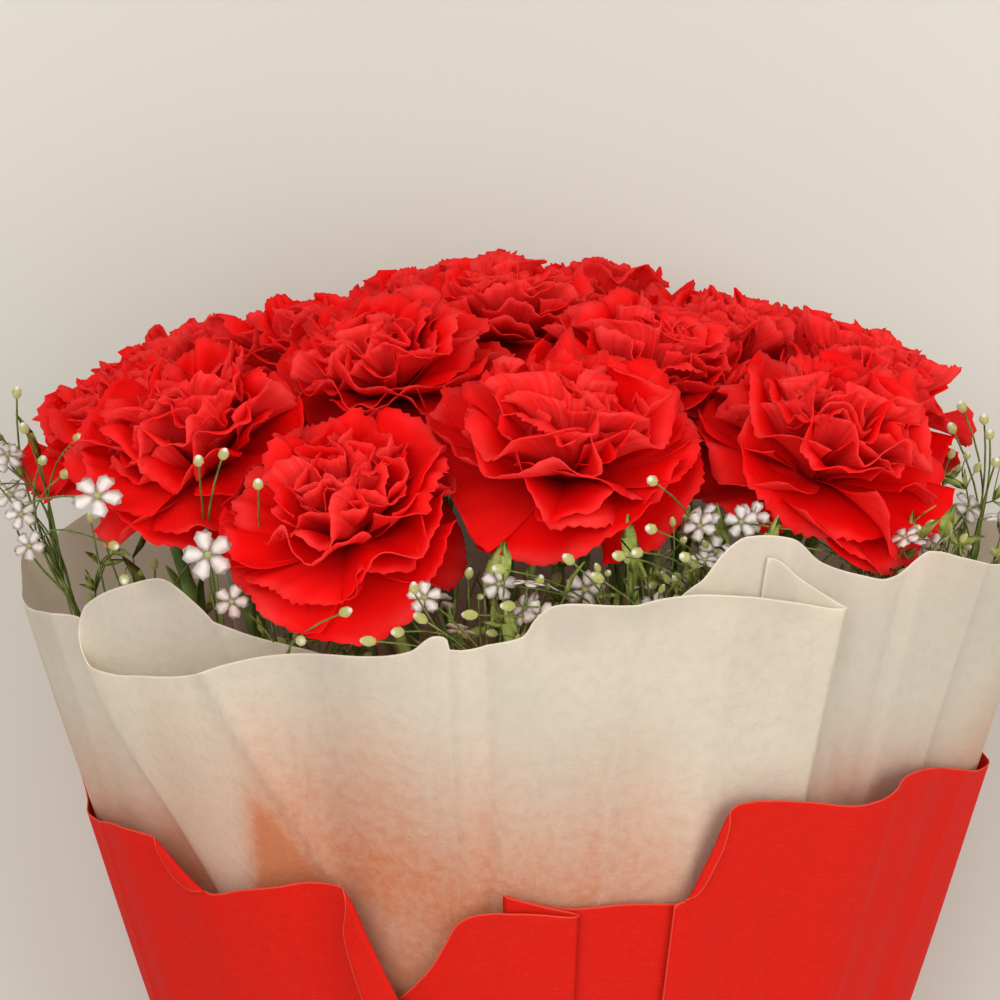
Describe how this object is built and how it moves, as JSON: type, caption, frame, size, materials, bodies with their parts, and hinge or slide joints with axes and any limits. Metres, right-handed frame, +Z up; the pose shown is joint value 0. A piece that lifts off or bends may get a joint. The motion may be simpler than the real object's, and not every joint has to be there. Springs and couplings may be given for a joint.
{
  "type": "wrapped bunch of carnations",
  "caption": "Hand-tied bunch of red carnations with baby's breath, in white and red non-woven cloth tied with a ribbon, lying on its back.",
  "frame": {"origin": "middle of the bounding box at the level of the table that the bunch lies on", "axes": "+Y along the bunch from the cut stem ends to the flowers, +Z up from the table through the front of the wrapping, +X to the right"},
  "size_m": [0.3638, 0.6364, 0.2954],
  "materials": {
    "petals": "matt fresh petal",
    "stems": "waxy fresh stem",
    "babys_breath": "fresh stem with white flowers",
    "white_cloth": "thin non-woven cloth, translucent",
    "red_cloth": "thin non-woven cloth, matt",
    "ribbon": "satin",
    "string": "twisted, matt"
  },
  "bodies": {
    "root": {"babys_breath_back": "babys_breath", "babys_breath_between": "babys_breath", "babys_breath_front": "babys_breath", "babys_breath_front_left": "babys_breath", "babys_breath_front_middle": "babys_breath", "babys_breath_gap": "babys_breath", "babys_breath_left": "babys_breath", "babys_breath_left_front": "babys_breath", "babys_breath_right": "babys_breath", "babys_breath_right_front": "babys_breath", "carnation_back_left_petals": "petals", "carnation_back_left_stem": "stems", "carnation_back_petals": "petals", "carnation_back_right_petals": "petals", "carnation_back_right_stem": "stems", "carnation_back_stem": "stems", "carnation_front_left_petals": "petals", "carnation_front_left_stem": "stems", "carnation_front_middle_petals": "petals", "carnation_front_middle_stem": "stems", "carnation_front_petals": "petals", "carnation_front_right_petals": "petals", "carnation_front_right_stem": "stems", "carnation_front_stem": "stems", "carnation_inner_back_left_petals": "petals", "carnation_inner_back_left_stem": "stems", "carnation_inner_back_right_petals": "petals", "carnation_inner_back_right_stem": "stems", "carnation_inner_front_left_petals": "petals", "carnation_inner_front_left_stem": "stems", "carnation_inner_front_right_petals": "petals", "carnation_inner_front_right_stem": "stems", "carnation_inner_left_petals": "petals", "carnation_inner_left_stem": "stems", "carnation_inner_right_petals": "petals", "carnation_inner_right_stem": "stems", "carnation_left_back_petals": "petals", "carnation_left_back_stem": "stems", "carnation_left_petals": "petals", "carnation_left_stem": "stems", "carnation_middle_petals": "petals", "carnation_middle_stem": "stems", "carnation_right_back_petals": "petals", "carnation_right_back_stem": "stems", "carnation_right_petals": "petals", "carnation_right_stem": "stems", "red_sheet_back": "red_cloth", "red_sheet_front": "red_cloth", "red_sheet_left": "red_cloth", "red_sheet_right": "red_cloth", "ribbon_band": "ribbon", "ribbon_bow": "ribbon", "stem_string": "string", "white_sheet_back": "white_cloth", "white_sheet_front": "white_cloth", "white_sheet_left": "white_cloth", "white_sheet_right": "white_cloth"}
  },
  "joints": []
}
